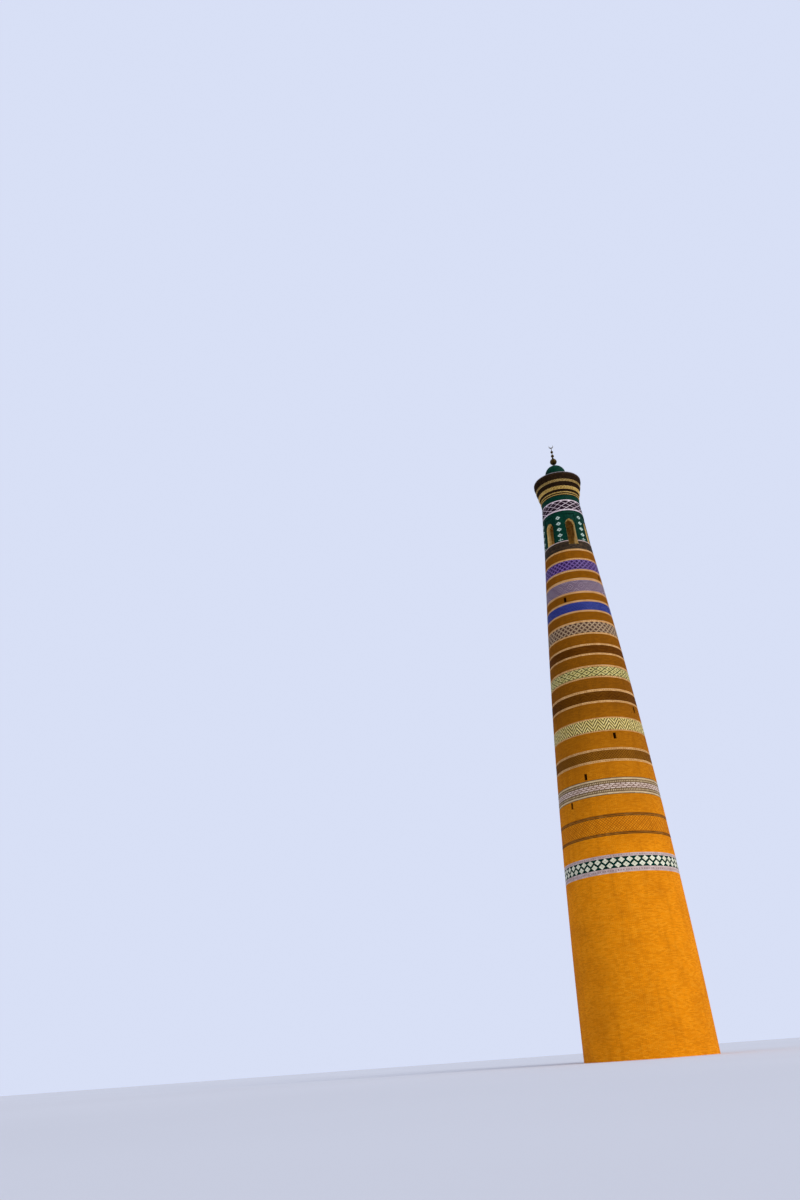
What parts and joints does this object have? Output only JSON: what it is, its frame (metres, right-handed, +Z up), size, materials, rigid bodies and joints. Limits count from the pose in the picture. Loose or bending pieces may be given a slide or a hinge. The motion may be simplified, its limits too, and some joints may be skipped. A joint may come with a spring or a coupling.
{
  "type": "half-scale minaret",
  "caption": "Half-scale tapering brick minaret with glazed tile bands, an open arched lantern, a corbelled cornice, a small green dome and a metal finial with a crescent.",
  "frame": {"origin": "centre of the round foot, on the ground", "axes": "+Z up the tower's axis; -Y towards the viewer; +X to the viewer's right"},
  "size_m": [4.76, 4.76, 26.389],
  "materials": {
    "brick": "matt fired brick",
    "lattice_brick": "matt brick laid in a lattice",
    "green_tile": "gloss glaze",
    "woven_tile": "satin glaze",
    "brown_tile": "satin glaze",
    "cream_tile": "satin glaze",
    "dark_tile": "satin glaze",
    "mauve_tile": "satin glaze",
    "blue_tile": "gloss glaze",
    "white_tile": "gloss glaze",
    "violet_tile": "gloss glaze",
    "lantern_tile": "gloss glaze",
    "cornice": "dark brick with gilt edges",
    "gilt_metal": "dull gilt"
  },
  "bodies": {
    "root": {"footing": "brick", "base_drum": "brick", "green_diamond_band": "green_tile", "brick_zone_01": "brick", "lattice_band": "lattice_brick", "brick_zone_02": "brick", "woven_band": "woven_tile", "brick_zone_03": "brick", "brown_band_lower": "brown_tile", "brick_zone_04": "brick", "chevron_band": "cream_tile", "brick_zone_05": "brick", "brown_band_upper": "brown_tile", "brick_zone_06": "brick", "cream_diamond_band": "cream_tile", "brick_zone_07": "brick", "dark_band": "dark_tile", "brick_zone_08": "brick", "mauve_lattice_band": "mauve_tile", "brick_zone_09": "brick", "blue_band": "blue_tile", "brick_zone_10": "brick", "fret_band": "white_tile", "brick_zone_11": "brick", "violet_band": "violet_tile", "brick_zone_12": "brick", "mottled_band": "dark_tile", "lantern_floor": "brick", "lantern_sill": "white_tile", "lantern_pier_1": "lantern_tile", "lantern_pier_2": "lantern_tile", "lantern_pier_3": "lantern_tile", "lantern_pier_4": "lantern_tile", "lantern_pier_5": "lantern_tile", "lantern_pier_6": "lantern_tile", "lantern_head": "lantern_tile", "neck_lattice_band": "white_tile", "neck_ring": "lantern_tile", "cornice_tier_1": "cornice", "cornice_tier_2": "cornice", "cornice_tier_3": "cornice", "cornice_rim": "cornice", "dome": "lantern_tile", "finial": "gilt_metal", "crescent": "gilt_metal"}
  },
  "joints": []
}
